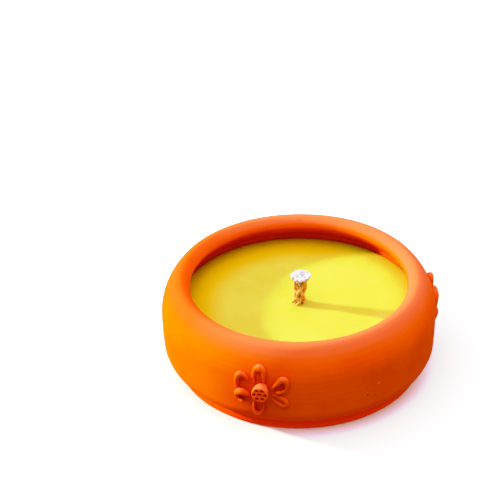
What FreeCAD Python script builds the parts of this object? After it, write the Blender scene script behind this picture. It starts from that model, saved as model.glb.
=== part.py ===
"""Terracotta diya lamp: a turned clay bowl with three applied flowers, filled with wax round a cotton wick.

The frame: the origin is the centre of the foot's resting plane, +Z is up the bowl's axis, and the
front flower faces -Y. All sizes are in millimetres.
"""
import FreeCAD
import Part
import Sketcher
import math
import os
import re
from FreeCAD import Placement, Rotation, Vector

# ---------------------------------------------------------------- driving dimensions
SIZES = [
    # bowl, outside
    ("belly_radius", 50.0),       # widest radius of the body
    ("belly_drop", 13.1),         # crest of the lip to the widest point, in height
    ("belly_bulge", 0.5),         # how far the belly swells between flank and widest point
    ("body_height", 36.1),        # foot to the crest of the lip
    ("flank_height", 11.0),       # where the flank's curve ends and the belly begins
    ("flank_round", 6.6),         # radius of the flank's curve
    ("edge_inset", 3.9),          # body's lower edge, inside the belly radius
    ("foot_inset", 5.3),          # foot band, inside the belly radius
    ("foot_height", 4.4),         # height of the foot band
    ("foot_round", 1.6),          # rounding of the foot's bottom edge
    ("groove_depth", 0.6),        # cut between the foot and the body
    ("groove_width", 0.6),
    ("lip_inset", 7.05),          # crest of the lip, inside the belly radius
    ("lip_round", 3.5),           # half round of the lip
    # bowl, inside
    ("wall", 5.5),                # wall at the belly
    ("floor", 5.5),               # floor above the base recess
    ("corner_round", 8.0),        # inside corner between wall and floor
    ("underlip_drop", 9.1),       # crest of the lip to where the cavity's wall turns in under it
    ("recess_depth", 1.0),        # hollow of the base inside the foot ring
    ("ring_width", 7.0),          # width of the foot ring's resting face
    # wax
    ("wax_drop", 10.6),           # crest of the lip to the wax surface, in height
    ("wax_gap", 0.35),            # shrinkage gap between wax and wall
    # wick and its tab
    ("wick_radius", 2.4),         # braid, outside
    ("core_radius", 0.9),         # straight cotton core inside the braid
    ("wick_stand", 11.7),         # wick above the wax
    ("fray_radius", 3.9),         # spread top of the cut end
    ("fray_height", 3.0),         # height over which it spreads
    ("wick_lean", 0.85),          # sideways lean of the top, towards +X
    ("tab_radius", 10.0),         # steel disc under the wick
    ("tab_thickness", 0.3),
    ("neck_wall", 0.4),           # crimped collar round the wick
    ("neck_height", 3.5),
    ("sticker_thickness", 0.5),   # adhesive disc that holds the tab to the floor
    # flowers
    ("pod_reach", 4.1),           # how far the pod's face stands off the wall
    ("pod_radius", 3.0),
    ("pod_base_radius", 2.5),
    ("pod_root", 1.5),            # buried end, trimmed to the wall
    ("pod_round", 0.6),           # rounding of the pod's face edge
    ("seed_hole_radius", 0.55),
    ("seed_hole_depth", 1.0),
    ("seed_ring_radius", 1.75),
    ("petal_tip", 10.8),          # flower centre to the petal's outer end
    ("petal_bead", 1.05),         # radius of the raised bead
    ("petal_spread", 1.6),        # radius of the bend at the tip, along the bead's middle
    ("petal_pinch", 7.0),         # how far each arm turns in towards the pod, in degrees
    ("petal_gap", 0.5),           # space between neighbouring petals, at the ends of their arms
    ("petal_lift", 0.35),         # height of the bead's middle over the wall
]
FLOWER_AZIMUTHS = (-15.0, 108.0, 225.0)   # degrees from the front, towards +X
FLOWER_OFFSETS = (2.35, -0.25, 0.95)      # above the body's mid height: each flower was set by hand
PETAL_COUNT = 6
SEED_COUNT = 6
VOLUME_TOLERANCE = 0.5                    # how far a cut's volume may be from the one worked out

document = FreeCAD.newDocument("diya")
sizes = document.addObject("Spreadsheet::Sheet", "sizes")
for row, (alias, number) in enumerate(SIZES, start=1):
    sizes.set("A%d" % row, alias)
    sizes.set("B%d" % row, str(number))
    sizes.setAlias("B%d" % row, alias)
document.recompute()
ALIASES = {alias for alias, number in SIZES}


def bound(text):
    """The expression with every driving dimension named as a cell of the sheet."""
    def cell(word):
        return "sizes." + word.group() if word.group() in ALIASES else word.group()
    return re.sub(r"[a-z_]+", cell, text)


def value(text):
    """The number that an expression of driving dimensions gives."""
    result = sizes.evalExpression(bound(text))
    return float(getattr(result, "Value", result))


# ---------------------------------------------------------------- shared expressions
BAND = "(belly_radius - foot_inset)"
EDGE = "(belly_radius - edge_inset)"
CREST = "(belly_radius - lip_inset)"
LIP_CENTRE = "(body_height - lip_round)"
MOUTH = "(belly_radius - lip_inset - lip_round)"
CAVITY = "(belly_radius - wall)"
FLOOR = "(recess_depth + floor)"
BELLY_HEIGHT = "(body_height - belly_drop)"
WAX_LEVEL = "(body_height - wax_drop)"
# The shoulder's arc leaves the belly upright and runs smoothly into the lip's half round.
RISE = "(belly_drop - lip_round)"
SHOULDER = "((lip_inset^2 + %s^2 - lip_round^2) / (2 * (lip_inset - lip_round)))" % RISE
BELLY = "((belly_bulge^2 + (%s - flank_height)^2) / (2 * belly_bulge))" % BELLY_HEIGHT
# The point where the shoulder's arc and the lip's half round meet, on the line of their centres.
JOIN_RATIO = "(%s / (%s - lip_round))" % (SHOULDER, SHOULDER)
JOIN_RADIUS = "(belly_radius - %s + (%s - lip_inset) * %s)" % (SHOULDER, SHOULDER, JOIN_RATIO)
JOIN_HEIGHT = "(%s + %s * %s)" % (BELLY_HEIGHT, RISE, JOIN_RATIO)

TAB_BOTTOM = "(recess_depth + floor + sticker_thickness)"
TAB_TOP = "(recess_depth + floor + sticker_thickness + tab_thickness)"
NECK_TOP = "(recess_depth + floor + sticker_thickness + tab_thickness + neck_height)"
NECK_RADIUS = "(wick_radius + neck_wall)"
WICK_TOP = "(%s + wick_stand)" % WAX_LEVEL

# A petal lies in its share of the turn round the flower's centre. Its bend has its middle HOOP_AT out from
# there, and each arm leaves the bend at ARM_ROOT and stops half the gap short of the neighbour's share.
HALF_SHARE = 180.0 / PETAL_COUNT
HOOP_AT = "(petal_tip - petal_bead - petal_spread)"
ARM_ROOT = "(%s - petal_spread * sin(petal_pinch))" % HOOP_AT
ARM_ROOM = "(%s * sin(%g) - petal_spread * cos(petal_pinch) * cos(%g) - petal_bead - petal_gap / 2)" % (
    ARM_ROOT, HALF_SHARE, HALF_SHARE)
ARM_LENGTH = "(%s / sin(%g - petal_pinch))" % (ARM_ROOM, HALF_SHARE)


# ---------------------------------------------------------------- sketching
def origin_plane(body, role):
    return next(plane for plane in body.Origin.OriginFeatures if plane.Role == role)


def new_body(name):
    return document.addObject("PartDesign::Body", name)


def new_sketch(body, name, role):
    sketch = body.newObject("Sketcher::SketchObject", name)
    sketch.AttachmentSupport = (origin_plane(body, role), [""])
    sketch.MapMode = "FlatFace"
    return sketch


def bend_centre(start, end, radius, side):
    """The centre of the arc between two points, to the left (side 1) or right (-1) of its chord."""
    chord = end - start
    across = Vector(-chord.y, chord.x, 0).normalize() * side
    return (start + end) * 0.5 + across * math.sqrt(radius**2 - (chord.Length / 2) ** 2)


def bend(start, end, radius, side):
    chord = end - start
    across = Vector(-chord.y, chord.x, 0).normalize() * side
    return Part.Arc(start, bend_centre(start, end, radius, side) - across * radius, end)


def fix_point(sketch, geometry, end, radius, height, number):
    """Ties one corner of the profile to the sheet."""
    for kind, axis, text, word in (("DistanceX", -2, radius, "radius"), ("DistanceY", -1, height, "height")):
        if text == "0":
            sketch.addConstraint(Sketcher.Constraint("PointOnObject", geometry, end, axis))
            continue
        index = sketch.addConstraint(Sketcher.Constraint(kind, -1, 1, geometry, end, value(text)))
        name = "%s_%d" % (word, number)
        sketch.renameConstraint(index, name)
        sketch.setExpression("Constraints." + name, bound(text))


def draw_profile(sketch, corners):
    """A closed profile of (radius, height, bend to the next corner): None, or (bend radius, side)."""
    places = [Vector(value(radius), value(height), 0) for radius, height, curve in corners]
    ends = {}
    for number, (radius, height, curve) in enumerate(corners):
        start = places[number]
        end = places[(number + 1) % len(places)]
        edge = Part.LineSegment(start, end) if curve is None else bend(start, end, value(curve[0]), curve[1])
        index = sketch.addGeometry(edge, False)
        ends[number] = (1, 2)
        if (sketch.getPoint(index, 1) - start).Length > (sketch.getPoint(index, 2) - start).Length:
            ends[number] = (2, 1)
    for number in range(len(corners)):
        following = (number + 1) % len(corners)
        joint = Sketcher.Constraint("Coincident", number, ends[number][1], following, ends[following][0])
        sketch.addConstraint(joint)
    for number, (radius, height, curve) in enumerate(corners):
        fix_point(sketch, number, ends[number][0], radius, height, number)
        if curve is not None:
            index = sketch.addConstraint(Sketcher.Constraint("Radius", number, value(curve[0])))
            sketch.renameConstraint(index, "bend_%d" % number)
            sketch.setExpression("Constraints.bend_%d" % number, bound(curve[0]))


def revolve(name, corners):
    """A body turned about +Z from its half profile."""
    body = new_body(name)
    sketch = new_sketch(body, name + "_profile", "XZ_Plane")
    draw_profile(sketch, corners)
    turned = body.newObject("PartDesign::Revolution", name + "_turned")
    turned.Profile = sketch
    turned.ReferenceAxis = (sketch, ["V_Axis"])
    turned.Angle = 360
    document.recompute()
    return body


# ---------------------------------------------------------------- bowl
def make_bowl():
    outside = [
        ("0", "recess_depth", None),
        (BAND + " - ring_width - recess_depth", "recess_depth", None),
        (BAND + " - ring_width", "0", None),
        (BAND + " - foot_round", "0", ("foot_round", 1)),
        (BAND, "foot_round", None),
        (BAND, "foot_height", None),
        (BAND + " - groove_depth", "foot_height + groove_width / 2", None),
        (EDGE, "foot_height + groove_width", ("flank_round", 1)),
        ("belly_radius - belly_bulge", "flank_height", (BELLY, 1)),
        ("belly_radius", BELLY_HEIGHT, (SHOULDER, 1)),
        (JOIN_RADIUS, JOIN_HEIGHT, ("lip_round", 1)),
        (CREST, "body_height", ("lip_round", 1)),
        (MOUTH, LIP_CENTRE, None),
    ]
    inside = [
        (CAVITY, "body_height - underlip_drop", None),
        (CAVITY, FLOOR + " + corner_round", ("corner_round", -1)),
        (CAVITY + " - corner_round", FLOOR, None),
        ("0", FLOOR, None),
    ]
    return revolve("bowl", outside + inside)


# ---------------------------------------------------------------- wax, tab and sticker
def make_wax():
    side = CAVITY + " - wax_gap"
    return revolve("wax_fill", [
        ("tab_radius", FLOOR, None),
        (side + " - corner_round", FLOOR, ("corner_round", 1)),
        (side, FLOOR + " + corner_round", None),
        (side, WAX_LEVEL, None),
        ("wick_radius", WAX_LEVEL, None),
        ("wick_radius", NECK_TOP, None),
        (NECK_RADIUS, NECK_TOP, None),
        (NECK_RADIUS, TAB_TOP, None),
        ("tab_radius", TAB_TOP, None),
    ])


def make_sticker():
    return revolve("tab_sticker", [
        ("0", FLOOR, None),
        ("tab_radius", FLOOR, None),
        ("tab_radius", TAB_BOTTOM, None),
        ("0", TAB_BOTTOM, None),
    ])


def make_tab():
    return revolve("wick_tab", [
        ("wick_radius", TAB_BOTTOM, None),
        ("tab_radius", TAB_BOTTOM, None),
        ("tab_radius", TAB_TOP, None),
        (NECK_RADIUS, TAB_TOP, None),
        (NECK_RADIUS, NECK_TOP, None),
        ("wick_radius", NECK_TOP, None),
    ])


# ---------------------------------------------------------------- wick
def ring_sketch(body, name, height, radius, lean):
    """A circle at a height, its centre moved towards +X by the lean."""
    sketch = new_sketch(body, name, "XY_Plane")
    sketch.AttachmentOffset = Placement(Vector(0, 0, value(height)), Rotation())
    sketch.setExpression("AttachmentOffset.Base.z", bound(height))
    centre = Vector(value(lean), 0, 0)
    sketch.addGeometry(Part.Circle(centre, Vector(0, 0, 1), value(radius)), False)
    sketch.addConstraint(Sketcher.Constraint("PointOnObject", 0, 3, -1))
    if lean == "0":
        sketch.addConstraint(Sketcher.Constraint("PointOnObject", 0, 3, -2))
    else:
        sketch.addConstraint(Sketcher.Constraint("DistanceX", -1, 1, 0, 3, value(lean)))
        sketch.renameConstraint(1, "lean")
        sketch.setExpression("Constraints.lean", bound(lean))
    sketch.addConstraint(Sketcher.Constraint("Radius", 0, value(radius)))
    sketch.renameConstraint(2, "ring")
    sketch.setExpression("Constraints.ring", bound(radius))
    return sketch


def loft(body, kind, name, rings):
    sketches = [
        ring_sketch(body, "%s_ring_%d" % (name, number), height, radius, lean)
        for number, (height, radius, lean) in enumerate(rings)
    ]
    feature = body.newObject("PartDesign::" + kind, name)
    feature.Profile = sketches[0]
    feature.Sections = sketches[1:]
    feature.Ruled = True
    document.recompute()
    return feature


def wick_rings(radius, top_radius):
    """The wick stands upright in the wax, leans above it, and spreads over its last few millimetres."""
    start_of_fray = "wick_lean * (wick_stand - fray_height) / wick_stand"
    return [
        (TAB_BOTTOM, radius, "0"),
        (WAX_LEVEL, radius, "0"),
        (WICK_TOP + " - fray_height", radius, start_of_fray),
        (WICK_TOP, top_radius, "wick_lean"),
    ]


def make_wick():
    core = new_body("wick_core")
    loft(core, "AdditiveLoft", "core_loft", wick_rings("core_radius", "core_radius"))
    braid = new_body("wick_braid")
    sleeve = loft(braid, "AdditiveLoft", "braid_loft", wick_rings("wick_radius", "fray_radius"))
    bored_volume = sleeve.Shape.Volume - core.Shape.Volume
    bore = loft(braid, "SubtractiveLoft", "braid_bore", wick_rings("core_radius", "core_radius"))
    if abs(bore.Shape.Volume - bored_volume) > VOLUME_TOLERANCE:
        raise ValueError("the braid's bore doesn't hold the core")
    return [core, braid]


# ---------------------------------------------------------------- flowers
def wall_radius(height):
    """The bowl's outside radius at a height on its flank, belly or shoulder."""
    if height > value("flank_height"):
        arc = value(SHOULDER if height > value(BELLY_HEIGHT) else BELLY)
        return value("belly_radius") - arc + math.sqrt(arc**2 - (height - value(BELLY_HEIGHT)) ** 2)
    low = Vector(value(EDGE), value("foot_height + groove_width"), 0)
    high = Vector(value("belly_radius - belly_bulge"), value("flank_height"), 0)
    centre = bend_centre(low, high, value("flank_round"), 1)
    return centre.x + math.sqrt(value("flank_round") ** 2 - (height - centre.y) ** 2)


def wall_point(azimuth, flower_height, across, up):
    """The point of the wall across (towards +X, seen from the front) and up from a flower's centre."""
    turn = math.radians(azimuth) + across / value("belly_radius")
    height = flower_height + up
    radius = wall_radius(height)
    return Vector(radius * math.sin(turn), -radius * math.cos(turn), height)


def wall_frame(azimuth, flower_height, direction, distance):
    """A placement on the wall: X runs away from the flower's centre, Z stands off the wall."""
    step = 0.5
    cosine = math.cos(math.radians(direction))
    sine = math.sin(math.radians(direction))
    near = wall_point(azimuth, flower_height, (distance - step) * cosine, (distance - step) * sine)
    far = wall_point(azimuth, flower_height, (distance + step) * cosine, (distance + step) * sine)
    left = wall_point(
        azimuth, flower_height, distance * cosine - step * sine, distance * sine + step * cosine
    )
    right = wall_point(
        azimuth, flower_height, distance * cosine + step * sine, distance * sine - step * cosine
    )
    along = (far - near).normalize()
    outward = along.cross(left - right).normalize()
    spot = wall_point(azimuth, flower_height, distance * cosine, distance * sine)
    return Placement(spot, Rotation(along, outward.cross(along), outward, "XYZ"))


def bind(feature, **expressions):
    for name, text in expressions.items():
        feature.setExpression(name, bound(text))


def primitive(kind, name, placement, **expressions):
    """A Part primitive whose sizes come from the sheet."""
    feature = document.addObject("Part::" + kind, name)
    bind(feature, **expressions)
    feature.Placement = placement
    return feature


def make_petal(name, frame, bowl):
    """A horseshoe of clay: a round bead bent over the tip, whose two arms close a little towards the pod."""
    lift = Placement(Vector(0, 0, value("petal_lift")), Rotation())
    pinch = value("petal_pinch")
    spread = value("petal_spread")
    hoop_frame = frame.multiply(lift).multiply(Placement(Vector(), Rotation(Vector(0, 0, 1), -90 - pinch)))
    hoop = primitive("Torus", name + "_hoop", hoop_frame,
                     Radius1="petal_spread", Radius2="petal_bead", Angle3="180 + 2 * petal_pinch")
    pieces = [hoop]
    for side, word in ((1, "left"), (-1, "right")):
        turn = math.radians(90 + pinch) * side
        root = Vector(spread * math.cos(turn), spread * math.sin(turn), 0)
        along = Vector(-math.sin(turn) * side, math.cos(turn) * side, 0)
        arm_frame = frame.multiply(lift).multiply(Placement(root, Rotation(Vector(0, 0, 1), along)))
        pieces.append(primitive("Cylinder", "%s_%s_arm" % (name, word), arm_frame,
                                Radius="petal_bead", Height=ARM_LENGTH))
        end_frame = arm_frame.multiply(Placement(Vector(0, 0, value(ARM_LENGTH)), Rotation()))
        pieces.append(primitive("Sphere", "%s_%s_end" % (name, word), end_frame, Radius="petal_bead"))
    whole = document.addObject("Part::MultiFuse", name + "_whole")
    whole.Shapes = pieces
    return trim_to_wall(name, whole, bowl)


def trim_to_wall(name, whole, bowl):
    """Cuts away what is buried in the bowl, so that the piece sits face to face on its wall."""
    trimmed = document.addObject("Part::Cut", name)
    trimmed.Base = whole
    trimmed.Tool = bowl
    return trimmed


def make_pod(name, frame, bowl):
    """A seed pod: a flaring stub with a flat face, pricked with one hole in the middle and a ring of six."""
    body = new_body(name + "_blank")
    profile = new_sketch(body, name + "_profile", "XZ_Plane")
    draw_profile(profile, [
        ("0", "0", None),
        ("pod_base_radius", "0", None),
        ("pod_radius", "pod_reach + pod_root - pod_round", ("pod_round", 1)),
        ("pod_radius - pod_round", "pod_reach + pod_root", None),
        ("0", "pod_reach + pod_root", None),
    ])
    stub = body.newObject("PartDesign::Revolution", name + "_stub")
    stub.Profile = profile
    stub.ReferenceAxis = (profile, ["V_Axis"])
    document.recompute()
    prick_volume = math.pi * value("seed_hole_radius") ** 2 * value("seed_hole_depth")
    pricked_volume = stub.Shape.Volume - (1 + SEED_COUNT) * prick_volume
    for word, distance in (("middle", "0"), ("ring", "seed_ring_radius")):
        sketch = new_sketch(body, "%s_%s_prick" % (name, word), "XY_Plane")
        sketch.AttachmentOffset = Placement(Vector(0, 0, value("pod_reach + pod_root")), Rotation())
        sketch.setExpression("AttachmentOffset.Base.z", bound("pod_reach + pod_root"))
        prick(sketch, distance)
        hole = body.newObject("PartDesign::Pocket", "%s_%s_hole" % (name, word))
        hole.Profile = sketch
        hole.setExpression("Length", bound("seed_hole_depth"))
    ring = body.newObject("PartDesign::PolarPattern", name + "_holes")
    ring.Originals = [hole]
    ring.Axis = (profile, ["V_Axis"])
    ring.Angle = 360
    ring.Occurrences = SEED_COUNT
    body.Tip = ring
    document.recompute()
    if abs(body.Shape.Volume - pricked_volume) > VOLUME_TOLERANCE:
        raise ValueError(name + ": the seed holes aren't all cut")
    body.Placement = frame.multiply(Placement(Vector(0, 0, -value("pod_root")), Rotation()))
    return trim_to_wall(name, body, bowl)


def prick(sketch, distance):
    """One seed hole's circle, on the pod's axis or out along X."""
    sketch.addGeometry(Part.Circle(Vector(value(distance), 0, 0), Vector(0, 0, 1), value("seed_hole_radius")))
    sketch.addConstraint(Sketcher.Constraint("PointOnObject", 0, 3, -1))
    if distance == "0":
        sketch.addConstraint(Sketcher.Constraint("PointOnObject", 0, 3, -2))
    else:
        sketch.addConstraint(Sketcher.Constraint("DistanceX", -1, 1, 0, 3, value(distance)))
        sketch.renameConstraint(1, "distance")
        sketch.setExpression("Constraints.distance", bound(distance))
    sketch.addConstraint(Sketcher.Constraint("Radius", 0, value("seed_hole_radius")))
    sketch.renameConstraint(2, "hole")
    sketch.setExpression("Constraints.hole", bound("seed_hole_radius"))


def make_flower(number, azimuth, height, bowl):
    name = "flower_%d" % number
    pieces = [make_pod(name + "_pod", wall_frame(azimuth, height, 0.0, 0.0), bowl)]
    hoop_at = value(HOOP_AT)
    for petal in range(PETAL_COUNT):
        direction = 90.0 + petal * 360.0 / PETAL_COUNT
        frame = wall_frame(azimuth, height, direction, hoop_at)
        pieces.append(make_petal("%s_petal_%d" % (name, petal + 1), frame, bowl))
    return pieces


# ---------------------------------------------------------------- the whole lamp
bowl = make_bowl()
subparts = [bowl, make_wax(), make_sticker(), make_tab()] + make_wick()
for number, (azimuth, offset) in enumerate(zip(FLOWER_AZIMUTHS, FLOWER_OFFSETS), start=1):
    subparts += make_flower(number, azimuth, value("body_height / 2") + offset, bowl)
document.recompute()

for feature in document.Objects:
    if "Invalid" in feature.State or "Error" in feature.State:
        raise ValueError("%s failed: %s" % (feature.Label, feature.State))
os.makedirs("parts", exist_ok=True)
for piece in subparts:
    if piece.Shape.isNull() or not piece.Shape.isValid() or len(piece.Shape.Solids) != 1:
        raise ValueError("%s isn't one valid solid" % piece.Label)
for piece in subparts:
    piece.Shape.exportStep("parts/%s.step" % piece.Label)
    print("%-20s %9.1f mm3" % (piece.Label, piece.Shape.Volume))
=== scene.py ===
"""A terracotta diya lamp: fired clay with pressed flowers, poured yellow wax and a plaited cotton wick.

Sizes are in millimetres, in the frame of the CAD model, and become metres where a mesh is made.
"""
import math
import random

import bpy
import numpy as np
from mathutils import Matrix, Quaternion, Vector, noise


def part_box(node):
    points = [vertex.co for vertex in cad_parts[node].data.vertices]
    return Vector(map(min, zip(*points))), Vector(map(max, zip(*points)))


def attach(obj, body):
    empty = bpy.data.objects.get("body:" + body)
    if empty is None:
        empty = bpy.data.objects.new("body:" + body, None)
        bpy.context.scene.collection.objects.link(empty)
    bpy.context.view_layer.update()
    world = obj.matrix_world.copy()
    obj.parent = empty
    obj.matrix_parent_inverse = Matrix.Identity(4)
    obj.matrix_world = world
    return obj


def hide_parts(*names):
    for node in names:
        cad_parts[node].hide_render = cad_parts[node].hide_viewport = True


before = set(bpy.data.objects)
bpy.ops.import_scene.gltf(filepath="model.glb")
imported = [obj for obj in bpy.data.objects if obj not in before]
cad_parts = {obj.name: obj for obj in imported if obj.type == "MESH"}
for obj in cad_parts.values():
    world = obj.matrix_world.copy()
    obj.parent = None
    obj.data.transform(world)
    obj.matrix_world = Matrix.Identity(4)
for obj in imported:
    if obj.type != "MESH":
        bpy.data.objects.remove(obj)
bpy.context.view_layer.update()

MM = 0.001
random.seed(7)


def size_of(node):
    """The lowest and highest corners of a CAD node, in millimetres."""
    low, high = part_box(node)
    return low / MM, high / MM


# ---------------------------------------------------------------- sizes
BOWL_LOW, BOWL_HIGH = size_of("bowl")
WAX_LOW, WAX_HIGH = size_of("wax_fill")
BRAID_LOW, BRAID_HIGH = size_of("wick_braid")
TAB_LOW, TAB_HIGH = size_of("wick_tab")

BELLY = (BOWL_HIGH.x - BOWL_LOW.x) / 2
CREST_HEIGHT = BOWL_HIGH.z
WAX_RADIUS = (WAX_HIGH.x - WAX_LOW.x) / 2
WAX_LEVEL = WAX_HIGH.z
WAX_FLOOR = WAX_LOW.z
WICK_FOOT = BRAID_LOW.z
WICK_TOP = BRAID_HIGH.z
TAB_RADIUS = (TAB_HIGH.x - TAB_LOW.x) / 2
TAB_PLATE = 0.3

# Bowl, outside and inside, as in the CAD model.
FOOT_INSET = 5.3
FOOT_HEIGHT = 4.4
FOOT_ROUND = 1.6
RING_WIDTH = 7.0
RECESS = 1.0
GROOVE_DEPTH = 0.6
GROOVE_WIDTH = 0.6
EDGE_INSET = 3.9
FLANK_HEIGHT = 11.0
FLANK_ROUND = 6.6
BELLY_BULGE = 0.5
BELLY_HEIGHT = CREST_HEIGHT - 13.1
LIP_INSET = 7.05
LIP_ROUND = 3.5
WALL = 5.5
CORNER_ROUND = 8.0
UNDERLIP_HEIGHT = CREST_HEIGHT - 9.1

# Flowers: azimuth in degrees from the front towards +X, and height.
FLOWERS = ((-15.0, 20.4), (108.0, 17.8), (225.0, 19.0))

# Wick. At the wax it stands WICK_FORWARD in front of the axis, easing to nothing FORWARD_DEPTH below.
# The wax's tunnel doesn't follow it: it stays on the axis.
WICK_RADIUS = 2.4
NECK_WALL = 0.4
WICK_LEAN = 0.85
WICK_FORWARD = 0.9
FORWARD_DEPTH = 8
WICK_SWAY = 0.12
FRAY_HEIGHT = 6.5
FRAY_SPREAD = 0.75

# Camera and light, in degrees and metres. The floor is in millimetres, like every other mesh.
VIEW_ELEVATION = 33.6
VIEW_DISTANCE = 0.917
AIM_RIGHT = 1.119
AIM_DOWN = 1.546
VIEW_ROLL = -0.44
LENS = 180.0
SENSOR = 36.0
AIM_LIFT = 0.25 * MM
CLIP_NEAR = 0.01
CLIP_FAR = 20.0
KEY_TRAVEL = Vector((0.958, -0.287, 0.0))
KEY_ELEVATION = 18.0
KEY_STRENGTH = 9.4
KEY_SOFTNESS = 4.6
KEY_COLOUR = (1.0, 0.97, 0.70)
SOFTBOX_POWER = 36.0
SOFTBOX_WIDTH = 2.0
SOFTBOX_HEIGHT = 1.2
WORLD_STRENGTH = 0.48
FLOOR_HALF_WIDTH = 4000.0

# The view's contrast: (light in, light out) for all colours, and then for green and blue on their own.
TONE_WHITE = 1.4
TONE = ((0.02, 0.004), (0.05, 0.030), (0.15, 0.15), (0.30, 0.33), (0.50, 0.57), (0.70, 0.78), (1.03, 0.90))
TONE_GREEN = ((0.02, 0.021), (0.10, 0.105), (0.22, 0.235), (0.35, 0.315), (0.48, 0.41), (0.60, 0.58),
              (0.68, 0.695), (0.78, 0.79), (0.90, 0.905))
TONE_BLUE = ((0.008, 0.002), (0.020, 0.016), (0.05, 0.054), (0.10, 0.108), (0.30, 0.31))


# ---------------------------------------------------------------- mesh helpers
ON_AXIS = 1e-6
DOME_TURNS = (0.5, 1.0, 1.45)


def mesh_object(name, points, faces):
    """A smooth-shaded mesh object from points in millimetres."""
    mesh = bpy.data.meshes.new(name)
    mesh.from_pydata([tuple(Vector(point) * MM) for point in points], [], faces)
    mesh.validate()
    mesh.shade_smooth()
    piece = bpy.data.objects.new(name, mesh)
    bpy.context.scene.collection.objects.link(piece)
    return piece


def finish_piece(piece, material, replaced=()):
    """Every piece rides on the lamp's one body, and may stand for CAD nodes."""
    piece.data.materials.clear()
    piece.data.materials.append(material)
    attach(piece, "root")
    if replaced:
        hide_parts(*replaced)
    return piece


def bend(points, end, radius, side, steps):
    """Continues an outline along an arc, whose centre is left (side 1) or right (side -1) of its way."""
    start = Vector(points[-1])
    end = Vector(end)
    chord = end - start
    across = Vector((-chord.y, chord.x)).normalized() * side
    centre = (start + end) / 2 + across * math.sqrt(radius**2 - (chord.length / 2) ** 2)
    first = math.atan2(start.y - centre.y, start.x - centre.x)
    sweep = math.atan2(end.y - centre.y, end.x - centre.x) - first
    sweep = (sweep + math.pi) % math.tau - math.pi
    for step in range(1, steps + 1):
        angle = first + sweep * step / steps
        points.append((centre.x + radius * math.cos(angle), centre.y + radius * math.sin(angle)))


def resample(points, spacing):
    """The outline again, with evenly spaced points."""
    line = np.array([tuple(point) for point in points])
    lengths = np.concatenate(([0], np.cumsum(np.linalg.norm(np.diff(line, axis=0), axis=1))))
    count = max(2, round(lengths[-1] / spacing) + 1)
    stations = np.linspace(0, lengths[-1], count)
    return np.stack([np.interp(stations, lengths, column) for column in line.T], axis=1)


def soften(line, rounds):
    """Eases the corners of an evenly spaced outline, whose two ends stay."""
    for _ in range(rounds):
        line = np.vstack([line[:1], line[:-2] * 0.25 + line[1:-1] * 0.5 + line[2:] * 0.25, line[-1:]])
    return line


def lathe(outline, segments, shape, closed):
    """Turns an outline of (radius, height) about Z; shape(angle, radius, height) moves each point."""
    on_axis = [not closed and radius < ON_AXIS for radius, height in outline]
    points = []
    rings = []
    for (radius, height), single in zip(outline, on_axis):
        if single:
            rings.append([len(points)] * segments)
            points.append((0, 0, height))
            continue
        rings.append(list(range(len(points), len(points) + segments)))
        for segment in range(segments):
            angle = math.tau * segment / segments
            r, z = shape(angle, radius, height)
            points.append((r * math.sin(angle), -r * math.cos(angle), z))
    pairs = list(zip(rings, rings[1:]))
    if closed:
        pairs.append((rings[-1], rings[0]))
    faces = []
    for lower, upper in pairs:
        for segment in range(segments):
            following = (segment + 1) % segments
            corners = [lower[segment], lower[following], upper[following], upper[segment]]
            face = [corner for place, corner in enumerate(corners) if corner != corners[place - 1]]
            if len(face) > 2:
                faces.append(face)
    return points, faces


def catmull(controls, steps):
    """A smooth line through given points; the extra columns, such as a radius, run along with it."""
    padded = [np.array(point, float) for point in (controls[0], *controls, controls[-1])]
    line = []
    for before, start, end, after in zip(padded, padded[1:], padded[2:], padded[3:]):
        for step in range(steps):
            t = step / steps
            line.append(0.5 * (2 * start + (end - before) * t
                               + (2 * before - 5 * start + 4 * end - after) * t**2
                               + (3 * start - before - 3 * end + after) * t**3))
    line.append(padded[-1])
    return line


def tube(points, faces, line, sides):
    """Adds a round tube with domed ends along a line of (x, y, z, radius)."""
    centres = [Vector(station[:3]) for station in line]
    radii = [station[3] for station in line]
    tangents = [(after - before).normalized()
                for before, after in zip([centres[0]] + centres[:-1], centres[1:] + [centres[-1]])]
    first, last = tangents[0] * radii[0], tangents[-1] * radii[-1]
    stations = [(centres[0] - first * math.sin(turn), tangents[0], radii[0] * math.cos(turn))
                for turn in reversed(DOME_TURNS)]
    stations += list(zip(centres, tangents, radii))
    stations += [(centres[-1] + last * math.sin(turn), tangents[-1], radii[-1] * math.cos(turn))
                 for turn in DOME_TURNS]
    side = tangents[0].orthogonal().normalized()
    rings = []
    for centre, tangent, radius in stations:
        side = (side - tangent * side.dot(tangent)).normalized()
        other = tangent.cross(side)
        rings.append(list(range(len(points), len(points) + sides)))
        for corner in range(sides):
            angle = math.tau * corner / sides
            points.append(centre + (side * math.cos(angle) + other * math.sin(angle)) * radius)
    for lower, upper in zip(rings, rings[1:]):
        for corner in range(sides):
            following = (corner + 1) % sides
            faces.append([lower[corner], lower[following], upper[following], upper[corner]])
    faces.append(list(reversed(rings[0])))
    faces.append(list(rings[-1]))


def ball(points, faces, centre, radius, sides=12):
    """Adds a ball, as a very short tube whose domed ends make it round."""
    tube(points, faces, [(*centre, radius), (centre[0], centre[1], centre[2] + radius * 0.02, radius)], sides)


def clay_mass(name, points, faces, voxel, smoothing):
    """Joins overlapping closed shapes into one soft-edged skin, as wet clay would be, and gives its mesh."""
    source = mesh_object(name, points, faces)
    remesh = source.modifiers.new("Skin", "REMESH")
    remesh.mode = "VOXEL"
    remesh.voxel_size = voxel * MM
    smooth = source.modifiers.new("Soft", "SMOOTH")
    smooth.factor = 0.5
    smooth.iterations = smoothing
    skinned = bpy.data.meshes.new_from_object(source.evaluated_get(bpy.context.evaluated_depsgraph_get()))
    skin_points = [vertex.co / MM for vertex in skinned.vertices]
    skin_faces = [list(face.vertices) for face in skinned.polygons]
    bpy.data.objects.remove(source)
    return skin_points, skin_faces


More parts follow.
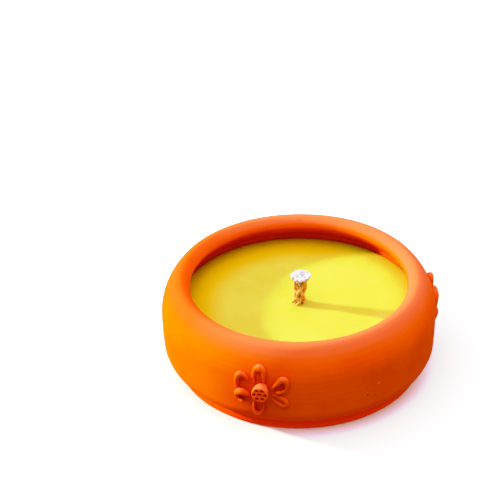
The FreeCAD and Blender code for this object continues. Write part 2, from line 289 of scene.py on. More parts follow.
def wobble(point, scale, seed):
    """Smooth noise from about -1 to 1 at a point in millimetres, with features about scale wide."""
    return noise.noise(Vector(point) / scale + Vector((seed * 17.3, seed * 5.1, seed * 9.7)))


# ---------------------------------------------------------------- material helpers
def new_material(name):
    """A material with only its shader, and the tree and the shader to build on."""
    material = bpy.data.materials.new(name)
    material.use_nodes = True
    tree = material.node_tree
    tree.nodes.clear()
    output = tree.nodes.new("ShaderNodeOutputMaterial")
    shader = tree.nodes.new("ShaderNodeBsdfPrincipled")
    tree.links.new(shader.outputs["BSDF"], output.inputs["Surface"])
    return material, tree, shader


def add(tree, kind, inputs, output=0, **settings):
    """A node with its inputs set to numbers, colours or other nodes' outputs; gives the chosen output."""
    made = tree.nodes.new("ShaderNode" + kind)
    for name, setting in settings.items():
        setattr(made, name, setting)
    for name, source in inputs.items():
        if isinstance(source, bpy.types.NodeSocket):
            tree.links.new(source, made.inputs[name])
        else:
            made.inputs[name].default_value = source
    return made.outputs[output]


def object_place(tree):
    """The place on the object, in metres."""
    return add(tree, "TexCoord", {}, "Object")


def stretched(tree, place, stretch):
    """The place with each axis scaled; a scale under 1 draws the features out along it."""
    return add(tree, "Mapping", {"Vector": place, "Scale": stretch}, "Vector")


def grain(tree, place, width, detail=3.0, roughness=0.55, distortion=0.0):
    """Noise from 0 to 1 whose features are about width millimetres wide."""
    return add(tree, "TexNoise", {"Vector": place, "Scale": 1 / (width * MM), "Detail": detail,
                                  "Roughness": roughness, "Distortion": distortion}, "Fac")


def span(tree, source, low, high, to_low=0.0, to_high=1.0):
    """Maps a range of numbers onto another, smoothly and with its ends held."""
    return add(tree, "MapRange", {"Value": source, "From Min": low, "From Max": high,
                                  "To Min": to_low, "To Max": to_high}, "Result",
               interpolation_type="SMOOTHSTEP")


def maths(tree, operation, first, second=0.0):
    """One sum of two numbers, by the name that Blender gives it."""
    return add(tree, "Math", {0: first, 1: second}, 0, operation=operation)


def blend_colours(tree, factor, first, second):
    """The first colour where the factor is 0 and the second where it is 1."""
    made = tree.nodes.new("ShaderNodeMix")
    made.data_type = "RGBA"
    factor_socket, first_socket, second_socket = (made.inputs[place] for place in (0, 6, 7))
    for socket, source in ((factor_socket, factor), (first_socket, first), (second_socket, second)):
        if isinstance(source, bpy.types.NodeSocket):
            tree.links.new(source, socket)
        elif socket == factor_socket:
            socket.default_value = source
        else:
            socket.default_value = (*source, 1.0)
    return made.outputs[2]


def bump(tree, height, depth, normal=None):
    """Relief of a depth in millimetres."""
    inputs = {"Height": height, "Distance": depth * MM, "Strength": 1.0}
    if normal is not None:
        inputs["Normal"] = normal
    return add(tree, "Bump", inputs, "Normal")


def plug(tree, shader, **inputs):
    """Sets the shader's sockets, named with _ for a space."""
    for name, source in inputs.items():
        socket = shader.inputs[name.replace("_", " ")]
        if isinstance(source, bpy.types.NodeSocket):
            tree.links.new(source, socket)
        else:
            socket.default_value = source


# ---------------------------------------------------------------- materials
CLAY = (0.73, 0.097, 0.0022)
CLAY_DEEP = (0.65, 0.074, 0.0016)
# Pale up-facing tops: partly dust and partly a painted sheen of the light from above.
CLAY_DUST_AND_SHEEN = (0.72, 0.102, 0.040)
# A painted shade: the up-facing tops at the left, where the key light falls, are kept deeper.
CLAY_LEFT_SHADE = (0.72, 0.064, 0.010)
# A painted bounce of light from the floor: lighter and redder at the foot.
CLAY_FOOT_BOUNCE = (0.96, 0.074, 0.0010)
CLAY_SPECK = (0.075, 0.016, 0.006)
CLAY_NICK = (0.62, 0.20, 0.09)
NICK_AZIMUTH = 34.2
NICK_HEIGHT = 17.9
NICK_RADIUS = 0.75
# How far up a surface faces where the dust and painted sheen begins and where it is full.
DUST_AND_SHEEN_FACING = (0.30, 0.68)
# The span across X over which the painted shade at the left fades out.
LEFT_SHADE_ACROSS = (-46 * MM, -10 * MM)
# The heights over which the painted bounce of light from the floor fades out.
FOOT_BOUNCE_RISE = (1.5 * MM, 11.0 * MM)
SPECK_SPACING = 5.5


def nick_place():
    """Where the nick is, on the wall."""
    azimuth = math.radians(NICK_AZIMUTH)
    radius = wall_radius(NICK_HEIGHT)
    return Vector((radius * math.sin(azimuth), -radius * math.cos(azimuth), NICK_HEIGHT))


def clay_material():
    """Fired clay: mottled, pale where it faces up, deeper on those tops at the left, lighter and redder at
    the foot.

    The pale tops are partly dust and partly a painted sheen of the light from above. The deeper tops at the
    left are a painted shade where the key light falls. The colour at the foot is a painted bounce of light
    from the floor.

    It has sparse dark specks and one pale nick.
    """
    material, tree, shader = new_material("fired_clay")
    place = object_place(tree)
    mottle = grain(tree, place, 22.0, detail=4.0)
    patch = grain(tree, place, 5.0, detail=3.0)
    fine = grain(tree, place, 0.55, detail=2.0)
    sand = grain(tree, place, 0.22, detail=1.0)
    body = blend_colours(tree, span(tree, mottle, 0.32, 0.68), CLAY_DEEP, CLAY)
    body = blend_colours(tree, span(tree, patch, 0.35, 0.75, 0.0, 0.30), body, CLAY)
    facing = add(tree, "SeparateXYZ", {0: add(tree, "NewGeometry", {}, "Normal")}, "Z")
    # Where the surface faces up: partly dust and partly a painted sheen of the light from above.
    dust_and_sheen = span(tree, maths(tree, "ADD", facing, span(tree, fine, 0.3, 0.7, -0.05, 0.05)), *DUST_AND_SHEEN_FACING)
    side = add(tree, "SeparateXYZ", {0: place}, "X")
    # A painted shade: on the up-facing tops at the left, where the key light falls, the colour stays deeper.
    left_shade = span(tree, maths(tree, "ADD", side, span(tree, mottle, 0.3, 0.7, -4 * MM, 4 * MM)),
                  *LEFT_SHADE_ACROSS, 1.0, 0.0)
    # A painted bounce of light from the floor: the clay is lighter and redder towards the foot.
    foot = span(tree, add(tree, "SeparateXYZ", {0: place}, "Z"), *FOOT_BOUNCE_RISE, 1.0, 0.0)
    body = blend_colours(tree, foot, body, CLAY_FOOT_BOUNCE)
    body = blend_colours(tree, dust_and_sheen, body, blend_colours(tree, left_shade, CLAY_DUST_AND_SHEEN, CLAY_LEFT_SHADE))
    body = blend_colours(tree, span(tree, fine, 0.25, 0.75, 0.0, 0.16), body, CLAY_DEEP)
    cells = add(tree, "TexVoronoi", {"Vector": place, "Scale": 1 / (SPECK_SPACING * MM), "Randomness": 1.0},
                "Distance")
    rare = span(tree, grain(tree, place, 9.0, detail=0.0), 0.56, 0.62)
    speck = maths(tree, "MULTIPLY", span(tree, cells, 0.050, 0.075, 1.0, 0.0), rare)
    body = blend_colours(tree, maths(tree, "MULTIPLY", speck, 0.6), body, CLAY_SPECK)
    away = add(tree, "VectorMath", {0: place, 1: nick_place() * MM}, "Value", operation="DISTANCE")
    ragged = maths(tree, "ADD", away, span(tree, fine, 0.2, 0.8, -0.25 * MM, 0.25 * MM))
    nick = span(tree, ragged, NICK_RADIUS * 0.45 * MM, NICK_RADIUS * MM, 1.0, 0.0)
    body = blend_colours(tree, maths(tree, "MULTIPLY", nick, 0.85), body, CLAY_NICK)
    height = maths(tree, "ADD", maths(tree, "MULTIPLY", fine, 0.6), maths(tree, "MULTIPLY", sand, 0.4))
    height = maths(tree, "SUBTRACT", height, maths(tree, "MULTIPLY", speck, 1.5))
    relief = bump(tree, height, 0.035, bump(tree, patch, 0.05))
    plug(tree, shader, Base_Color=body, Roughness=span(tree, fine, 0.2, 0.8, 0.66, 0.84), Normal=relief)
    plug(tree, shader, Specular_IOR_Level=0.02)
    return material


WAX = (0.43, 0.385, 0.042)
WAX_DEEP = (0.41, 0.355, 0.032)
WAX_FROST = (0.45, 0.405, 0.062)
# A painted shade near the far left rim, amber with light bounced off the clay: its colour, side, rim span and
# reach.
WAX_RIM_SHADE = (0.42, 0.232, 0.002)
RIM_SHADE_SIDE = (-0.72, 0.69, 0.0)
RIM_SHADE_SPAN = (25 * MM, 38 * MM)
RIM_SHADE_REACH = (0.0, 22 * MM)


def wax_material():
    """Poured wax: satin and slightly translucent, with faint frosting.

    Towards the far left rim it has a painted shade, amber with light bounced off the clay.
    """
    material, tree, shader = new_material("yellow_wax")
    place = object_place(tree)
    cloud = grain(tree, place, 16.0, detail=3.0, distortion=0.4)
    frost = grain(tree, place, 2.6, detail=4.0, roughness=0.6)
    body = blend_colours(tree, span(tree, cloud, 0.3, 0.7), WAX_DEEP, WAX)
    body = blend_colours(tree, span(tree, frost, 0.55, 0.85, 0.0, 0.35), body, WAX_FROST)
    # A painted shade near the far left rim, amber as light bounced off the clay would make it.
    towards = add(tree, "VectorMath", {0: place, 1: RIM_SHADE_SIDE}, "Value", operation="DOT_PRODUCT")
    uneven = maths(tree, "ADD", towards, span(tree, cloud, 0.3, 0.7, -2.5 * MM, 2.5 * MM))
    flat = add(tree, "VectorMath", {0: place, 1: (1.0, 1.0, 0.0)}, "Vector", operation="MULTIPLY")
    out = add(tree, "VectorMath", {0: flat}, "Value", operation="LENGTH")
    rim = span(tree, out, *RIM_SHADE_SPAN)
    amber = maths(tree, "MULTIPLY", rim, span(tree, uneven, *RIM_SHADE_REACH))
    body = blend_colours(tree, amber, body, WAX_RIM_SHADE)
    pits = span(tree, grain(tree, place, 0.5, detail=1.0), 0.62, 0.78)
    relief = bump(tree, maths(tree, "SUBTRACT", frost, maths(tree, "MULTIPLY", pits, 0.3)), 0.02)
    plug(tree, shader, Base_Color=body, Roughness=span(tree, frost, 0.3, 0.8, 0.40, 0.55), Normal=relief)
    plug(tree, shader, Specular_IOR_Level=0.06, Subsurface_Weight=0.6, Subsurface_Scale=3.5 * MM,
         Subsurface_Radius=(1.0, 0.75, 0.12))
    return material


COTTON_WAXED = (0.66, 0.31, 0.045)
COTTON_AMBER = (0.52, 0.19, 0.012)
# Paler peach fibres: partly the cotton's own colour and partly a painted highlight.
COTTON_PEACH_AND_HIGHLIGHT = (0.75, 0.48, 0.20)
COTTON_DRY = (0.50, 0.48, 0.52)
DRY_BELOW_TOP = (1.5, 0.6)
TUFT_SHADE = (0.36, 0.345, 0.40)
TUFT_PALE = (0.54, 0.52, 0.56)
TUFT_STAIN = (0.58, 0.50, 0.44)
STEEL_DARK = (0.56, 0.57, 0.60)
STEEL_PALE = (0.72, 0.73, 0.74)
PAPER_STAIN = (0.80, 0.78, 0.70)
PAPER_PALE = (0.88, 0.87, 0.83)


def waxed_cotton_material():
    """Plaited cotton soaked with wax: golden brown, with fine fibres, dry and white at the cut end.

    Its paler peach fibres are partly the cotton's own colour and partly a painted highlight.
    """
    material, tree, shader = new_material("waxed_cotton")
    place = object_place(tree)
    fibre = grain(tree, stretched(tree, place, (1.0, 1.0, 0.25)), 0.22, detail=2.0)
    blot = grain(tree, place, 1.6, detail=2.0)
    body = blend_colours(tree, span(tree, blot, 0.35, 0.65), COTTON_AMBER, COTTON_WAXED)
    # Paler peach fibres, partly the cotton's own colour and partly a painted highlight.
    body = blend_colours(tree, span(tree, fibre, 0.46, 0.66, 0.0, 0.85), body, COTTON_PEACH_AND_HIGHLIGHT)
    height = add(tree, "SeparateXYZ", {0: place}, "Z")
    ragged = maths(tree, "ADD", height, span(tree, fibre, 0.2, 0.8, -0.5 * MM, 0.5 * MM))
    dry = span(tree, ragged, *((WICK_TOP - below) * MM for below in DRY_BELOW_TOP))
    body = blend_colours(tree, dry, body, COTTON_DRY)
    plug(tree, shader, Base_Color=body, Roughness=span(tree, fibre, 0.3, 0.7, 0.42, 0.60),
         Normal=bump(tree, fibre, 0.10))
    plug(tree, shader, Specular_IOR_Level=0.35, Sheen_Weight=0.1)
    return material


def cotton_material():
    """Dry white cotton fibre, a little grey in its depths and lightly stained."""
    material, tree, shader = new_material("dry_cotton")
    place = object_place(tree)
    fibre = grain(tree, place, 0.30, detail=3.0)
    blot = grain(tree, place, 1.2, detail=2.0)
    body = blend_colours(tree, span(tree, fibre, 0.3, 0.7), TUFT_SHADE, TUFT_PALE)
    body = blend_colours(tree, span(tree, blot, 0.62, 0.80, 0.0, 0.5), body, TUFT_STAIN)
    plug(tree, shader, Base_Color=body, Roughness=0.9, Normal=bump(tree, fibre, 0.08))
    plug(tree, shader, Specular_IOR_Level=0.2, Sheen_Weight=0.4, Sheen_Roughness=0.6)
    return material


def steel_material():
    """Tinned sheet steel, rolled and slightly scuffed."""
    material, tree, shader = new_material("tinned_steel")
    place = object_place(tree)
    rolled = grain(tree, stretched(tree, place, (0.12, 1.0, 1.0)), 0.35, detail=3.0)
    scuff = grain(tree, place, 3.0, detail=4.0)
    body = blend_colours(tree, span(tree, scuff, 0.3, 0.7), STEEL_DARK, STEEL_PALE)
    plug(tree, shader, Base_Color=body, Roughness=span(tree, rolled, 0.3, 0.7, 0.22, 0.40),
         Normal=bump(tree, rolled, 0.01))
    plug(tree, shader, Metallic=1.0)
    return material


def sticker_material():
    """The paper face of an adhesive disc."""
    material, tree, shader = new_material("sticker_paper")
    place = object_place(tree)
    pulp = grain(tree, place, 0.4, detail=4.0)
    stain = grain(tree, place, 4.0, detail=3.0)
    body = blend_colours(tree, span(tree, stain, 0.35, 0.7), PAPER_STAIN, PAPER_PALE)
    plug(tree, shader, Base_Color=body, Roughness=span(tree, pulp, 0.3, 0.7, 0.75, 0.9),
         Normal=bump(tree, pulp, 0.02))
    return material


# ---------------------------------------------------------------- bowl
def bowl_outside():
    """The outline from the middle of the base, up the outside and over the crest of the lip."""
    band = BELLY - FOOT_INSET
    edge = BELLY - EDGE_INSET
    crest = BELLY - LIP_INSET
    rise = CREST_HEIGHT - LIP_ROUND - BELLY_HEIGHT
    shoulder = (LIP_INSET**2 + rise**2 - LIP_ROUND**2) / (2 * (LIP_INSET - LIP_ROUND))
    belly = (BELLY_BULGE**2 + (BELLY_HEIGHT - FLANK_HEIGHT) ** 2) / (2 * BELLY_BULGE)
    ratio = shoulder / (shoulder - LIP_ROUND)
    points = [(0, RECESS), (band - RING_WIDTH - RECESS, RECESS)]
    points += [(band - RING_WIDTH, 0), (band - FOOT_ROUND, 0)]
    bend(points, (band, FOOT_ROUND), FOOT_ROUND, 1, 8)
    points.append((band, FOOT_HEIGHT))
    points.append((band - GROOVE_DEPTH, FOOT_HEIGHT + GROOVE_WIDTH / 2))
    points.append((edge, FOOT_HEIGHT + GROOVE_WIDTH))
    bend(points, (BELLY - BELLY_BULGE, FLANK_HEIGHT), FLANK_ROUND, 1, 16)
    bend(points, (BELLY, BELLY_HEIGHT), belly, 1, 16)
    join = (BELLY - shoulder + (shoulder - LIP_INSET) * ratio, BELLY_HEIGHT + rise * ratio)
    bend(points, join, shoulder, 1, 24)
    bend(points, (crest, CREST_HEIGHT), LIP_ROUND, 1, 12)
    return points


def bowl_inside():
    """The outline from the crest of the lip down the cavity to the middle of its floor."""
    cavity = BELLY - WALL
    points = [(BELLY - LIP_INSET, CREST_HEIGHT)]
    bend(points, (BELLY - LIP_INSET - LIP_ROUND, CREST_HEIGHT - LIP_ROUND), LIP_ROUND, 1, 12)
    points += [(cavity, UNDERLIP_HEIGHT), (cavity, WAX_FLOOR + CORNER_ROUND)]
    bend(points, (cavity - CORNER_ROUND, WAX_FLOOR), CORNER_ROUND, -1, 10)
    points.append((0, WAX_FLOOR))
    return points


BOWL_ROW = 0.5
BOWL_SEGMENTS = 448
TURNING_RIDGE = 0.010
RIM_DIP = 0.14
NICK_DEPTH = 0.22
OUTSIDE = resample(bowl_outside(), 0.1)
WALL_LINE = OUTSIDE[OUTSIDE[:, 1] > FOOT_HEIGHT + GROOVE_WIDTH]


def wall_radius(height):
    """The bowl's outside radius at a height above its lower edge."""
    return float(np.interp(height, WALL_LINE[:, 1], WALL_LINE[:, 0]))


def hand_made(angle, radius, height):
    """Turned clay is never quite true: the wall swells, the rim dips, and one nick is knocked out of it."""
    turn = Vector((math.sin(angle), -math.cos(angle), 0.0)) * 50
    spot = turn + Vector((0, 0, height))
    swell = 0.16 * wobble(spot, 26.0, 1) + 0.05 * wobble(spot, 7.0, 2) + 0.012 * wobble(spot, 1.6, 3)
    ridge = TURNING_RIDGE * math.sin(height * 2.9 + 1.4 * wobble(turn, 30.0, 4)) * min(1.0, height / 6)
    share = min(1.0, radius / 30) * min(1.0, max(0.0, height - 0.2) / 1.5)
    place = Vector((radius * math.sin(angle), -radius * math.cos(angle), height))
    knock = math.exp(-((place - nick_place()).length / (0.7 * NICK_RADIUS)) ** 2)
    dip = RIM_DIP * wobble(turn, 38.0, 5) * min(1.0, max(0.0, height - BELLY_HEIGHT) / 10)
    return radius + (swell + ridge) * share - NICK_DEPTH * knock, height + dip


def make_bowl(material):
    """The bowl, turned in rows BOWL_ROW apart."""
    outside = soften(resample(bowl_outside(), BOWL_ROW / 2), 3)[::2]
    inside = soften(resample(bowl_inside(), BOWL_ROW), 2)
    outline = [tuple(point) for point in np.vstack([outside, inside[1:]])]
    outline[0] = (0.0, outline[0][1])
    outline[-1] = (0.0, outline[-1][1])
    points, faces = lathe(outline, BOWL_SEGMENTS, hand_made, closed=False)
    finish_piece(mesh_object("bowl_clay", points, faces), material, ["bowl"])


# ---------------------------------------------------------------- flowers
# Each petal is a bead of clay bent round a hollow. Its line is (across, up, off the wall, radius), seen from
# outside with the flower's centre at zero. The flowers come from one press, so all three share these.
PETALS = (
    ((-2.9, 3.0, 0.50, 0.55), (-3.0, 5.5, 0.75, 0.68), (-2.4, 7.7, 1.00, 1.00), (-1.1, 8.6, 1.10, 1.30),
     (0.25, 7.7, 1.00, 1.05), (0.80, 5.5, 0.75, 0.72), (0.65, 3.0, 0.50, 0.55)),
    ((-9.2, -1.0, 0.40, 0.50), (-9.5, 1.6, 0.75, 0.72), (-8.9, 4.1, 1.00, 1.02), (-7.8, 5.3, 1.10, 1.15),
     (-6.4, 4.8, 0.80, 0.85), (-5.4, 3.5, 0.45, 0.55)),
    ((-7.4, -6.2, 0.80, 0.75), (-9.1, -5.5, 0.50, 0.60), (-9.4, -3.7, 0.80, 0.92), (-8.3, -2.2, 1.10, 1.30),
     (-6.8, -1.9, 1.10, 1.25), (-5.5, -2.6, 0.75, 0.85), (-4.8, -3.5, 0.45, 0.55)),
    ((-2.6, -4.4, 0.90, 0.50), (-2.9, -7.0, 0.85, 0.55), (-2.9, -9.4, 0.60, 0.58), (-1.7, -10.7, 0.50, 0.80),
     (-0.3, -9.4, 0.55, 0.55), (0.4, -7.0, 0.75, 0.46), (0.6, -4.6, 0.90, 0.46)),
    ((3.8, -1.8, 0.10, 0.50), (5.9, -2.5, 0.15, 0.66), (7.9, -3.9, 0.20, 0.78), (8.6, -5.5, 0.20, 0.84),
     (7.3, -6.3, 0.15, 0.74), (5.4, -5.2, 0.10, 0.64), (3.7, -3.8, 0.10, 0.50)),
    ((3.7, 1.1, 0.60, 0.55), (5.1, 3.2, 1.00, 0.78), (6.9, 5.0, 1.20, 1.08), (8.4, 5.0, 1.10, 1.08),
     (8.8, 3.2, 0.90, 0.82), (8.3, 1.2, 0.80, 0.68), (7.0, 0.1, 0.80, 0.64), (5.5, -0.2, 1.00, 0.68)),
)
POD_SIDE = ((0.0, -0.9), (1.3, -0.9), (1.55, 0.0), (2.15, 0.9), (2.65, 1.9), (2.95, 2.9), (3.0, 3.6),
            (2.85, 3.95), (2.5, 4.08), (1.6, 4.0), (0.0, 3.95))
POD_DROOP = 1.45
POD_REACH = 4.1
SEED_RING = 1.92
SEED_HOLE = 0.68
SEED_COUNT = 6
SEED_FLOOR = 1.8
SEED_MOUTH = 4.6
SEED_JITTER = 0.08
POD_SEGMENTS = 48
POD_VOXEL = 0.12
PETAL_SIDES = 14
PETAL_STEPS = 8
PETAL_JITTER = 0.12
PETAL_VOXEL = 0.15


def on_wall(flower, across, up, off):
    """A point off the wall, by its place on the wall measured from a flower's centre."""
    azimuth, height = flower
    turn = math.radians(azimuth) + across / BELLY
    place = height + up
    slope = (wall_radius(place + 0.25) - wall_radius(place - 0.25)) / 0.5
    outward = Vector((math.sin(turn), -math.cos(turn), -slope)).normalized()
    radius = wall_radius(place)
    return Vector((radius * math.sin(turn), -radius * math.cos(turn), place)) + outward * off


def pressed(flower, points, seed):
    """Lays a flat shape on the wall, with the small unevenness of hand work."""
    laid = []
    for point in points:
        shift = 0.10 * wobble(point, 2.6, seed) + 0.035 * wobble(point, 0.8, seed + 3)
        laid.append(on_wall(flower, point.x + shift, point.y - shift, point.z * (1 + 0.5 * shift)))
    return laid


def make_petal(name, flower, controls, seed, material):
    """A petal, as one soft-edged bead laid on the wall."""
    points, faces = [], []
    jitter = PETAL_JITTER
    line = catmull([(x + random.uniform(-jitter, jitter), y + random.uniform(-jitter, jitter), z, r)
                    for x, y, z, r in controls], PETAL_STEPS)
    tube(points, faces, line, PETAL_SIDES)
    points, faces = clay_mass(name, points, faces, PETAL_VOXEL, 3)
    piece = mesh_object(name, pressed(flower, points, seed), faces)
    finish_piece(piece, material, [name[:-len("_clay")]])


def make_pod(name, flower, seed, material):
    """A seed pod: an egg-shaped stub with a flat face, pricked with seven holes."""
    outline = resample(POD_SIDE, 0.2)
    points, faces = lathe([tuple(point) for point in outline], POD_SEGMENTS, lambda angle, r, z: (r, z),
                          closed=False)
    stub = mesh_object(name, points, faces)
    points, faces = [], []
    turns = [math.tau * hole / SEED_COUNT + 0.05 for hole in range(SEED_COUNT)]
    places = [(0.0, 0.0)] + [(SEED_RING * math.cos(turn), SEED_RING * math.sin(turn)) for turn in turns]
    for x, y in places:
        x += random.uniform(-SEED_JITTER, SEED_JITTER)
        y += random.uniform(-SEED_JITTER, SEED_JITTER)
        tube(points, faces, [(x, y, SEED_FLOOR, SEED_HOLE * 0.8), (x, y, SEED_MOUTH, SEED_HOLE * 1.05)], 16)
    pricks = mesh_object(name + "_pricks", points, faces)
    cut = stub.modifiers.new("Pricks", "BOOLEAN")
    cut.operation = "DIFFERENCE"
    cut.object = pricks
    cut.solver = "EXACT"
    pricked = bpy.data.meshes.new_from_object(stub.evaluated_get(bpy.context.evaluated_depsgraph_get()))
    points = [vertex.co / MM for vertex in pricked.vertices]
    faces = [list(face.vertices) for face in pricked.polygons]
    bpy.data.objects.remove(stub)
    bpy.data.objects.remove(pricks)
    points, faces = clay_mass(name, points, faces, POD_VOXEL, 2)
    centre = on_wall(flower, 0, 0, 0)
    outward = (on_wall(flower, 0, 0, 1) - centre).normalized()
    right = (on_wall(flower, 0.5, 0, 0) - on_wall(flower, -0.5, 0, 0)).normalized()
    turn = Matrix((right, outward.cross(right), outward)).transposed()
    placed = []
    for point in points:
        shift = 0.06 * wobble(point, 2.0, seed)
        droop = POD_DROOP * (0.96 - point.z / POD_REACH)
        placed.append(centre + turn @ (point * (1 + 0.3 * shift) + Vector((shift, droop - shift, 0))))
    finish_piece(mesh_object(name, placed, faces), material, [name[:-len("_clay")]])


def make_flowers(material):
    """Three flowers, each a pod with six petals round it."""
    for index, flower in enumerate(FLOWERS, start=1):
        make_pod("flower_%d_pod_clay" % index, flower, index * 11, material)
        for petal, controls in enumerate(PETALS, start=1):
            name = "flower_%d_petal_%d_clay" % (index, petal)
            make_petal(name, flower, controls, index * 20 + petal, material)


# ---------------------------------------------------------------- wax
WAX_SEGMENTS = 256
WAX_CLIMB = 0.22
WAX_SINK = 0.22
WAX_EDGE_ROUND = 0.30


def wax_top(angle, radius, height):
    """The surface climbs the wick, sinks a little as it shrinks, and rounds off at the wall."""
    if height < WAX_LEVEL - 1:
        return radius, height
    spot = Vector((radius * math.sin(angle), -radius * math.cos(angle), 0))
    climb = WAX_CLIMB * math.exp(-(radius - WICK_RADIUS) / 0.8)
    sink = WAX_SINK * math.exp(-((radius - 9) / 7) ** 2)
    ripple = 0.07 * wobble(spot, 14.0, 6) + 0.02 * wobble(spot, 3.5, 7)
    ease = WAX_EDGE_ROUND * max(0.0, 1 - (WAX_RADIUS - radius) / 1.6) ** 2
    return radius, height + climb - sink + ripple * min(1.0, (WAX_RADIUS - radius) / 4) - ease


def make_wax(material):
    """The fill, with its tunnel for the wick, its collar and the tab."""
    neck = TAB_HIGH.z
    collar = WICK_RADIUS + NECK_WALL
    plate = TAB_LOW.z + TAB_PLATE
    top = list(np.arange(WICK_RADIUS, 8, 0.4)) + list(np.arange(8, WAX_RADIUS - 3, 1.2))
    top += list(np.arange(WAX_RADIUS - 3, WAX_RADIUS, 0.3)) + [WAX_RADIUS]
    outline = [(radius, WAX_LEVEL) for radius in top]
    outline += [(WAX_RADIUS, WAX_LEVEL - 2), (WAX_RADIUS, WAX_FLOOR + CORNER_ROUND)]
    bend(outline, (WAX_RADIUS - CORNER_ROUND, WAX_FLOOR), CORNER_ROUND, -1, 10)
    outline += [(TAB_RADIUS, WAX_FLOOR), (TAB_RADIUS, plate)]
    outline += [(collar, plate), (collar, neck), (WICK_RADIUS, neck)]
    points, faces = lathe(outline, WAX_SEGMENTS, wax_top, closed=True)
    faces = [list(reversed(face)) for face in faces]
    finish_piece(mesh_object("wax_poured", points, faces), material, ["wax_fill"])


# ---------------------------------------------------------------- wick
STRANDS = 4
PLIES = 3
BRAID_TURN = 21.0
PLY_TURN = 4.2
BRAID_LINE = 1.60
STRAND_LINE = 0.34
PLY_RADIUS = 0.37
OVER_UNDER = 0.26
BRAID_STEP = 0.33
CORE_STEP = 0.8
CORE_TURN = 6
CORE_LINE = 0.28
CORE_PLY_RADIUS = 0.3
TUFT_RINGS = ((1, 0.0), (6, 1.15), (11, 2.25), (16, 3.20))
TUFT_DEPTH = 1.05
TUFT_VOXEL = 0.16
LUMP_RADIUS = (0.50, 0.72)
FIBRE_COUNT = 340
FIBRE_REACH = 3.3
FIBRE_LENGTH = (0.5, 1.0)
FIBRE_RADIUS = 0.075
FIBRE_STEPS = 4
FIBRE_LIMIT = 0.2


def wick_centre(height):
    """The wick's axis: it comes forward near the wax's surface, and above it leans right and back again."""
    share = max(0.0, height - WAX_LEVEL) / (WICK_TOP - WAX_LEVEL)
    buried = max(0.0, WAX_LEVEL - height)
    forward = WICK_FORWARD * (1 - share) * max(0.0, 1 - buried / FORWARD_DEPTH)
    return Vector((WICK_LEAN * share**0.9, WICK_SWAY * math.sin(share * 3.0) - forward, height))


def wick_spread(height):
    """How much wider the plait is than below, towards the frayed end."""
    share = max(0.0, height - (WICK_TOP - FRAY_HEIGHT)) / FRAY_HEIGHT
    return 1 + FRAY_SPREAD * share**1.2


def make_braid(material):
    """A plait of strands that cross over and under each other, each twisted from three plies."""
    points, faces = [], []
    heights = np.arange(WICK_FOOT + 0.4, WICK_TOP - 0.5, BRAID_STEP)
    for way in (1, -1):
        for strand in range(STRANDS):
            loose = random.uniform(-0.05, 0.05)
            for ply in range(PLIES):
                line = []
                for height in heights:
                    share = strand / STRANDS + way * height / BRAID_TURN
                    turn = math.tau * share + loose * math.sin(height)
                    over = way * OVER_UNDER * math.cos(STRANDS * math.tau * height / BRAID_TURN)
                    twist = math.tau * (ply / PLIES + height / PLY_TURN) + strand
                    out = (BRAID_LINE + over + loose) * wick_spread(height) + STRAND_LINE * math.cos(twist)
                    side = STRAND_LINE * 1.25 * math.sin(twist)
                    spot = Vector((out * math.cos(turn) - side * math.sin(turn),
                                   out * math.sin(turn) + side * math.cos(turn), 0))
                    thick = PLY_RADIUS * (1 + 0.08 * math.sin(height * 5 + ply))
                    line.append((*(wick_centre(height) + spot), thick))
                tube(points, faces, line, 8)
    finish_piece(mesh_object("wick_plait", points, faces), material, ["wick_braid"])


def make_core(material):
    """The dry cotton core: a twisted cord inside the plait, and its cut end teased into a tuft."""
    points, faces = [], []
    for ply in range(PLIES):
        line = []
        for height in np.arange(WICK_FOOT + 0.3, WICK_TOP - 1.0, CORE_STEP):
            twist = math.tau * (ply / PLIES + height / CORE_TURN)
            spot = Vector((CORE_LINE * math.cos(twist), CORE_LINE * math.sin(twist), 0))
            line.append((*(wick_centre(height) + spot), CORE_PLY_RADIUS))
        tube(points, faces, line, 8)
    lumps_points, lumps_faces = [], []
    top = wick_centre(WICK_TOP)
    for ring, (count, distance) in enumerate(TUFT_RINGS):
        for index in range(count):
            turn = math.tau * index / count + ring + random.uniform(-0.2, 0.2)
            reach = distance + random.uniform(-0.2, 0.2)
            drop = TUFT_DEPTH - 0.03 * ring + random.uniform(-0.20, 0.20)
            place = (top.x + reach * math.cos(turn), top.y + reach * math.sin(turn), WICK_TOP - drop)
            ball(lumps_points, lumps_faces, place, random.uniform(*LUMP_RADIUS))
    lumps_points, lumps_faces = clay_mass("lumps", lumps_points, lumps_faces, TUFT_VOXEL, 2)
    start = len(points)
    points += [point + Vector((0.10, 0.10, 0.14)) * wobble(point, 0.5, 8) for point in lumps_points]
    faces += [[start + corner for corner in face] for face in lumps_faces]
    for _ in range(FIBRE_COUNT):
        turn = random.uniform(0, math.tau)
        reach = FIBRE_REACH * math.sqrt(random.random())
        begin = Vector((top.x + reach * math.cos(turn), top.y + reach * math.sin(turn), WICK_TOP - 0.75))
        lean = 0.10 + 0.75 * (reach / FIBRE_REACH) ** 2
        way = Vector((lean * math.cos(turn) + random.uniform(-0.45, 0.45),
                      lean * math.sin(turn) + random.uniform(-0.45, 0.45), random.uniform(0.15, 0.45)))
        curl = Vector([random.uniform(-0.35, 0.35) for _ in range(3)])
        length = random.uniform(*FIBRE_LENGTH)
        line = []
        for step in range(FIBRE_STEPS + 1):
            share = step / FIBRE_STEPS
            place = begin + way * length * share + curl * length * share**2
            height = min(place.z, WICK_TOP + FIBRE_LIMIT)
            line.append((place.x, place.y, height, FIBRE_RADIUS * (1 - 0.5 * share)))
        tube(points, faces, line, 5)
    finish_piece(mesh_object("wick_core_tuft", points, faces), material, ["wick_core"])


# ---------------------------------------------------------------- stage
FLOOR_SHADE = (0.84, 0.84, 0.845)
FLOOR_PALE = (0.86, 0.86, 0.865)


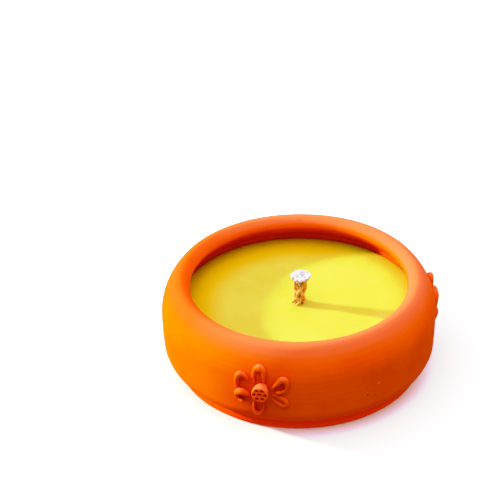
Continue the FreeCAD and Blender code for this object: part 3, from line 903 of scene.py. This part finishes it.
def make_floor():
    """A plain pale floor, wide enough to fill every view. It casts no reflected light on the lamp."""
    half = FLOOR_HALF_WIDTH
    floor = mesh_object("floor", [(-half, -half, 0), (half, -half, 0), (half, half, 0), (-half, half, 0)],
                        [[0, 1, 2, 3]])
    material, tree, shader = new_material("pale_floor")
    paper = grain(tree, object_place(tree), 60.0, detail=2.0)
    plug(tree, shader, Base_Color=blend_colours(tree, paper, FLOOR_SHADE, FLOOR_PALE))
    plug(tree, shader, Roughness=0.9, Specular_IOR_Level=0.1)
    floor.data.materials.append(material)
    floor.visible_diffuse = False


def make_world():
    """Even white light from all round."""
    world = bpy.data.worlds.new("studio")
    world.use_nodes = True
    background = world.node_tree.nodes["Background"]
    background.inputs["Color"].default_value = (1.0, 1.0, 1.0, 1.0)
    background.inputs["Strength"].default_value = WORLD_STRENGTH
    bpy.context.scene.world = world


def make_key():
    """One low, slightly soft key from the left and a little behind."""
    key = bpy.data.lights.new("key", "SUN")
    key.energy = KEY_STRENGTH
    key.angle = math.radians(KEY_SOFTNESS)
    key.color = KEY_COLOUR
    lamp = bpy.data.objects.new("key", key)
    travel = KEY_TRAVEL.normalized() * math.cos(math.radians(KEY_ELEVATION))
    travel.z = -math.sin(math.radians(KEY_ELEVATION))
    lamp.rotation_euler = travel.to_track_quat("-Z", "Y").to_euler()
    bpy.context.scene.collection.objects.link(lamp)


def make_softbox():
    """A wide softbox straight above."""
    box = bpy.data.lights.new("softbox", "AREA")
    box.energy = SOFTBOX_POWER
    box.size = SOFTBOX_WIDTH
    lamp = bpy.data.objects.new("softbox", box)
    lamp.location = (0, 0, SOFTBOX_HEIGHT)
    bpy.context.scene.collection.objects.link(lamp)


def make_camera():
    """The photograph's view: the lamp sits right of the middle and below it, so the camera is turned."""
    camera = bpy.data.cameras.new("camera")
    camera.lens = LENS
    camera.sensor_width = SENSOR
    camera.clip_start = CLIP_NEAR
    camera.clip_end = CLIP_FAR
    rig = bpy.data.objects.new("camera", camera)
    target = Vector((0, 0, CREST_HEIGHT / 2 * MM + AIM_LIFT))
    elevation = math.radians(VIEW_ELEVATION)
    rig.location = target + VIEW_DISTANCE * Vector((0, -math.cos(elevation), math.sin(elevation)))
    seen = Vector((math.tan(math.radians(AIM_RIGHT)), -math.tan(math.radians(AIM_DOWN)), -1)).normalized()
    look = (target - rig.location).to_track_quat("-Z", "Y")
    roll = Quaternion((0, 0, 1), math.radians(VIEW_ROLL))
    aim = Vector((0, 0, -1)).rotation_difference(seen)
    rig.rotation_euler = (look @ roll @ aim.inverted()).to_euler()
    bpy.context.scene.collection.objects.link(rig)
    bpy.context.scene.camera = rig


def set_tone():
    """A print's strong contrast: deep shades deepen, and the brightest tones ease into white."""
    view = bpy.context.scene.view_settings
    view.view_transform = "Standard"
    view.use_curve_mapping = True
    mapping = view.curve_mapping
    mapping.white_level = (TONE_WHITE, TONE_WHITE, TONE_WHITE)
    green, blue, all_colours = mapping.curves[1:4]
    for place, height in TONE:
        all_colours.points.new(place / TONE_WHITE, height)
    for curve, line in ((green, TONE_GREEN), (blue, TONE_BLUE)):
        for place, height in line:
            curve.points.new(place, height)
    mapping.update()


clay = clay_material()
make_bowl(clay)
make_flowers(clay)
make_wax(wax_material())
make_braid(waxed_cotton_material())
make_core(cotton_material())
for node, material in (("wick_tab", steel_material()), ("tab_sticker", sticker_material())):
    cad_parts[node].data.materials.clear()
    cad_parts[node].data.materials.append(material)
make_floor()
make_world()
make_key()
make_softbox()
make_camera()
set_tone()
